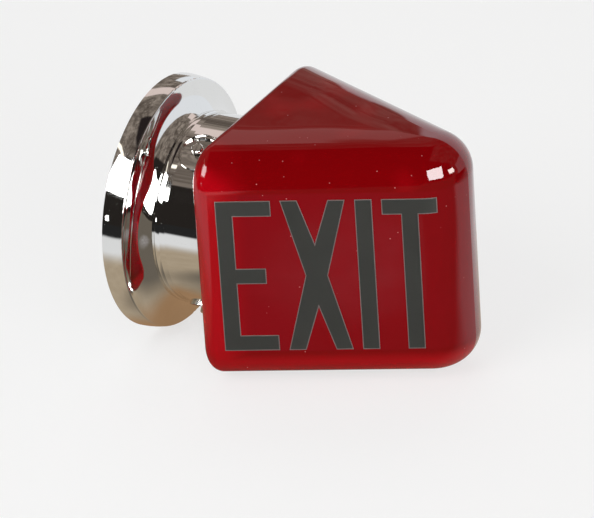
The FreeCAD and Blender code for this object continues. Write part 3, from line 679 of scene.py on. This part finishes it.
class EXITLIGHT_OT_letters(ExitLightOperator, bpy.types.Operator):
    """Lays the word and its edging on both broad faces"""
    bl_idname = "exit_light.letters"
    bl_label = "Letters"

    def execute(self, context):
        letters = self.sizes.letters
        enamel = letter_layer("letter_enamel", letters.enamel, 0.000010)
        # The pale line round each letter is a painted highlight along its edge.
        line = letter_layer("letter_edge_highlight", letters.edge, 0.000005)
        outlines = letter_outlines(letters)
        word = outlines[-1][:, 0].max()
        for side, place in ((-1, "left"), (1, "right")):
            face = GlobeFace(self.sizes.globe, side, letters.start, word)
            fields = []
            for corners in outlines:
                fields += letter_field(face, corners, letters.thickness)
            edging = [letter_edging(face, corners, letters.line, letters.thickness)
                      for corners in outlines]
            new_piece(f"exit_letters_{place}", fields, enamel, "holder")
            new_piece(f"exit_letter_lines_{place}", edging, line, "holder", False)
        return {"FINISHED"}


class EXITLIGHT_OT_threads(ExitLightOperator, bpy.types.Operator):
    """Lays the threads on the set screws, the nipple and the lamp's base"""
    bl_idname = "exit_light.threads"
    bl_label = "Threads"

    # The plain tip of a set screw, as a share of its radius, the plain ends of the nipple in
    # metres, and the plain end and the threaded length of the lamp's base, as shares of the base.
    SCREW_TIP = 0.3
    NIPPLE_END = 0.0004
    LAMP_END = 0.17
    LAMP_THREADED = 0.8

    def execute(self, context):
        metal = self.sizes.metal
        chrome = spun_chrome(metal)
        for screw, outwards, tip, top, depth in set_screws():
            shank = top - metal.screw_head - tip
            radius = self.shank_radius(screw, outwards, tip + shank / 2)
            plain = radius * self.SCREW_TIP
            start = outwards * (tip + plain) + np.array((0, depth, 0))
            ridge = thread(start, outwards, radius, shank - plain, metal.pitch, metal.ridge)
            new_piece(f"{screw}_thread", [ridge], chrome, screw)
        forward = np.array((0, -1.0, 0))
        low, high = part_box("nipple")
        ridge = thread((0, high[1] - self.NIPPLE_END, 0), forward, high[0],
                       high[1] - low[1] - 2 * self.NIPPLE_END, metal.pipe_pitch, metal.ridge)
        new_piece("nipple_thread", [ridge], plated_steel(metal), "holder")
        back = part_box("lamp")[1][1]
        reach = metal.lamp_base * self.LAMP_THREADED
        radius = self.shank_radius("lamp", forward, reach - back)
        ridge = thread((0, back - metal.lamp_base * self.LAMP_END, 0), forward, radius, reach,
                       metal.lamp_pitch, metal.lamp_ridge)
        new_piece("lamp_thread", [ridge], drawn_brass(metal), "holder")
        return {"FINISHED"}

    @staticmethod
    def shank_radius(node, along, out):
        """The radius of a turned node below a place along its axis."""
        places = np.array([vertex.co for vertex in frame["nodes"][node].data.vertices])
        reach = places @ along
        axis = places.mean(axis=0) * (1 - abs(along)) if abs(along[1]) < 0.5 else np.zeros(3)
        axis = axis - along * (axis @ along)
        away = np.linalg.norm(places - reach[:, None] * along - axis, axis=1)
        return float(away[reach < out].max())


class EXITLIGHT_OT_fittings(ExitLightOperator, bpy.types.Operator):
    """Finishes the strap, the lampholder and the lamp inside"""
    bl_idname = "exit_light.fittings"
    bl_label = "Strap, lampholder and lamp"

    def execute(self, context):
        metal = self.sizes.metal
        finish_nodes(plated_steel(metal), "web_plate", "mounting_strap", "nipple", "strap_nut",
                     "web_nut", "web_washer", "cap_set_screw")
        finish_nodes(drawn_brass(metal), "socket_cap", "socket_shell", "screw_shell",
                     "centre_contact", "terminal_plates", "terminal_screws", "shell_rivets")
        finish_nodes(insulating_card(), "insulating_liner")
        finish_nodes(moulded_phenolic(), "socket_interior")
        finish_nodes(pearl_lamp(metal), "lamp")
        return {"FINISHED"}


def direction(azimuth, elevation):
    """The unit vector at an azimuth and elevation: azimuth 0 is the front, -Y."""
    across = math.cos(elevation)
    return Vector((math.sin(azimuth) * across, -math.cos(azimuth) * across, math.sin(elevation)))


class EXITLIGHT_OT_stage(ExitLightOperator, bpy.types.Operator):
    """Sets the camera, the floor, the lamps and the studio round the light"""
    bl_idname = "exit_light.stage"
    bl_label = "Stage"

    # Softboxes: azimuth and elevation in degrees, width and height in metres, and radiance.
    LAMPS = (
        ("softbox_left", -106, 41, 1.05, 1.00, 3.1),
        ("softbox_front", -36, 22, 1.00, 0.90, 3.4),
        ("softbox_back", 115, 55, 1.40, 1.00, 1.4),
    )
    LAMP_DISTANCE = 1.7

    # What shiny things see of the studio, each seen through the ones after it: azimuth and
    # elevation of its middle, half of its width and height, all in degrees, its soft edge as a
    # share of its distance, and its colour.
    PANELS = (
        ("dark_side", -70, 6, 68, 56, 0.10, (0.020, 0.017, 0.015)),
        ("overhead", 112, 41, 34, 5.0, 0.03, (0.74, 0.62, 0.58)),
        ("backdrop", 62, 0, 50, 29, 0.03, (0.80, 0.83, 0.87)),
        ("softbox_left", -106, 41, 15, 15, 0.01, (11, 11, 11)),
        ("dark_above", -66, 77, 12, 26, 0.05, (0.020, 0.015, 0.015)),
        ("softbox_front", -36, 22, 16, 15, 0.01, (18, 18, 18)),
        ("strip", -140, 57, 10, 1.2, 0.01, (1.5, 1.4, 1.2)),
        ("small_lamp_left", -113, 4, 1.2, 1.2, 0.01, (30, 30, 30)),
        ("small_lamp_right", -1, 14, 4.5, 4.5, 0.03, (20, 19, 18)),
    )
    SOFT_LIGHT = (0.30, 0.30, 0.30)

    # How white the camera sees the floor, and the gap between it and the light in metres.
    FLOOR_WHITE = 0.7
    FLOOR_GAP = 0.0002

    def execute(self, context):
        stage = self.sizes.stage
        self.camera(stage)
        self.floor(stage)
        self.lamps(stage)
        self.studio(stage)
        bpy.context.scene.view_settings.view_transform = "Standard"
        return {"FINISHED"}

    def camera(self, stage):
        """The camera, turned to its aim and about its own axis."""
        back = direction(stage.azimuth, stage.elevation)
        level = Vector((math.cos(stage.azimuth), math.sin(stage.azimuth), 0))
        upright = back.cross(level)
        right = level * math.cos(stage.roll) + upright * math.sin(stage.roll)
        turn = Matrix((right, back.cross(right), back)).transposed()
        data = bpy.data.cameras.new("camera")
        data.sensor_width = stage.sensor
        data.lens = stage.lens
        data.clip_end = stage.reach * 4
        camera = bpy.data.objects.new("camera", data)
        stand = Vector(stage.aim) + back * stage.distance
        camera.matrix_world = Matrix.Translation(stand) @ turn.to_4x4()
        bpy.context.scene.collection.objects.link(camera)
        bpy.context.scene.camera = camera

    def floor(self, stage):
        """A plain pale floor, which shiny things see in the tones of the studio."""
        material, g = new_material("pale_floor")
        place, x, y, _ = g.place()
        grain = g.noise(place, 300.0)
        matt = g.principled({"Base Color": g.mix(grain, shade(stage.floor, 0.99), stage.floor),
                             "Roughness": 0.9, "Specular IOR Level": 0.1,
                             "Normal": g.bump((grain - 0.5) * 0.00005)})
        tone = self.floor_tones(g, place, x, y, stage.azimuth)
        seen = g.node("ShaderNodeEmission", None, {"Color": tone}).outputs[0]
        path = g.node("ShaderNodeLightPath")
        shiny = Field(g, path.outputs["Is Glossy Ray"])
        white = g.node("ShaderNodeEmission", None, {"Color": (1, 1, 1)}).outputs[0]
        direct = Field(g, path.outputs["Is Camera Ray"]) * self.FLOOR_WHITE
        pale = g.node("ShaderNodeMixShader", None, {0: direct, 1: matt, 2: white}).outputs[0]
        g.surface(g.node("ShaderNodeMixShader", None, {0: shiny, 1: pale, 2: seen}).outputs[0])
        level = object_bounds()[0][2] - self.FLOOR_GAP
        reach = stage.reach
        mesh = bpy.data.meshes.new("floor")
        mesh.from_pydata([(-reach, -reach, level), (reach, -reach, level), (reach, reach, level),
                          (-reach, reach, level)], [], [(0, 1, 2, 3)])
        mesh.materials.append(material)
        floor = bpy.data.objects.new("floor", mesh)
        bpy.context.scene.collection.objects.link(floor)
        floor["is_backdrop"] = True

    @staticmethod
    def floor_tones(g, place, x, y, azimuth):
        """The floor's tones to shiny things: amber under the light, beige round it, pale further
        off, dark where the studio in front is unlit, and dim in front of the light, with one
        lighter patch there."""
        front = x * math.sin(azimuth) - y * math.cos(azimuth)
        beside = x * math.cos(azimuth) + y * math.sin(azimuth)
        away = (x * x + y * y) ** 0.5
        blotch = g.noise(place, 30.0, 4.0, 0.6)
        tone = g.mix(blotch, (0.30, 0.23, 0.15), (0.56, 0.47, 0.35))
        tone = g.mix(away.smooth(0.055, 0.030) * 0.7, tone, (0.30, 0.14, 0.045))
        tone = g.mix(away.smooth(0.15, 0.24), tone, (0.78, 0.79, 0.80))
        tone = g.mix(front.smooth(-0.1, 0.3) * away.smooth(0.42, 0.55), tone, (0.02, 0.02, 0.02))
        spread = ((beside - 0.070) * 22.0) ** 2.0 + ((front - 0.25) * 16.0) ** 2.0
        patch = spread.smooth(2.2, 0.0) * (blotch * 1.6 - 0.2)
        dim = g.mix(patch, (0.145, 0.125, 0.10), (0.40, 0.38, 0.38))
        past = front - (beside - 0.06).maths("MAXIMUM", 0.0) * 0.5
        return g.mix(past.smooth(0.03, 0.08) * beside.smooth(-0.055, -0.025), tone, dim)

    def lamps(self, stage):
        """The softboxes, which light things but aren't seen themselves."""
        for name, azimuth, elevation, width, height, radiance in self.LAMPS:
            towards = direction(math.radians(azimuth), math.radians(elevation))
            data = bpy.data.lights.new(name, "AREA")
            data.shape = "RECTANGLE"
            data.size = width
            data.size_y = height
            data.energy = radiance * math.pi * width * height
            lamp = bpy.data.objects.new(name, data)
            lamp.location = Vector(stage.aim) + towards * self.LAMP_DISTANCE
            lamp.rotation_euler = towards.to_track_quat("Z", "Y").to_euler()
            lamp.visible_camera = False
            lamp.visible_glossy = False
            bpy.context.scene.collection.objects.link(lamp)

    def studio(self, stage):
        """White to the camera, a soft even light to matt things, and panels to shiny ones."""
        world = bpy.data.worlds.new("studio")
        bpy.context.scene.world = world
        g = Graph(world)
        place, *_ = g.place("Generated")
        clutter = g.noise(place, 9.0, 6.0, 0.75).smooth(0.35, 0.75)
        seen = g.mix(clutter, (0.085, 0.067, 0.055), (0.40, 0.34, 0.29))
        for _, *angles, edge, tone in self.PANELS:
            seen = g.mix(self.window(g, place, *map(math.radians, angles), edge), seen, tone)
        path = g.node("ShaderNodeLightPath")
        light = g.mix(Field(g, path.outputs["Is Glossy Ray"]), self.SOFT_LIGHT, seen)
        light = g.mix(Field(g, path.outputs["Is Camera Ray"]), light, (1, 1, 1))
        background = g.node("ShaderNodeBackground", None, {"Color": light, "Strength": 1.0})
        g.node("ShaderNodeOutputWorld", None, {"Surface": background.outputs[0]})

    @staticmethod
    def window(g, place, azimuth, elevation, width, height, edge):
        """1 where a direction meets a flat panel that faces the middle, 0 elsewhere."""
        ahead = direction(azimuth, elevation)
        level = Vector((math.cos(azimuth), math.sin(azimuth), 0))
        reach = g.dot(place, ahead)
        across = abs(g.dot(place, level) / reach)
        rise = abs(g.dot(place, ahead.cross(level)) / reach)
        inside = across.smooth(math.tan(width) + edge, math.tan(width))
        inside = inside * rise.smooth(math.tan(height) + edge, math.tan(height))
        return inside * reach.smooth(0.0, 0.01)


class EXITLIGHT_PT_panel(bpy.types.Panel):
    """The exit light's pieces"""
    bl_idname = "EXITLIGHT_PT_panel"
    bl_label = "Exit Light"
    bl_space_type = "VIEW_3D"
    bl_region_type = "UI"
    bl_category = "Exit Light"

    def draw(self, context):
        for operator in OPERATORS:
            self.layout.operator(operator.bl_idname)


GROUPS = (EXITLIGHT_PG_globe, EXITLIGHT_PG_letters, EXITLIGHT_PG_metal, EXITLIGHT_PG_stage,
          EXITLIGHT_PG_sizes)
OPERATORS = (EXITLIGHT_OT_holder, EXITLIGHT_OT_globe, EXITLIGHT_OT_letters, EXITLIGHT_OT_threads,
             EXITLIGHT_OT_fittings, EXITLIGHT_OT_stage)


def register():
    for kind in (*GROUPS, *OPERATORS, EXITLIGHT_PT_panel):
        bpy.utils.register_class(kind)
    bpy.types.Scene.exit_light = PointerProperty(type=EXITLIGHT_PG_sizes)


def unregister():
    del bpy.types.Scene.exit_light
    for kind in reversed((*GROUPS, *OPERATORS, EXITLIGHT_PT_panel)):
        bpy.utils.unregister_class(kind)


def main():
    register()
    bpy.ops.exit_light.holder()
    bpy.ops.exit_light.globe()
    bpy.ops.exit_light.letters()
    bpy.ops.exit_light.threads()
    bpy.ops.exit_light.fittings()
    bpy.ops.exit_light.stage()


if __name__ == "__main__":
    main()
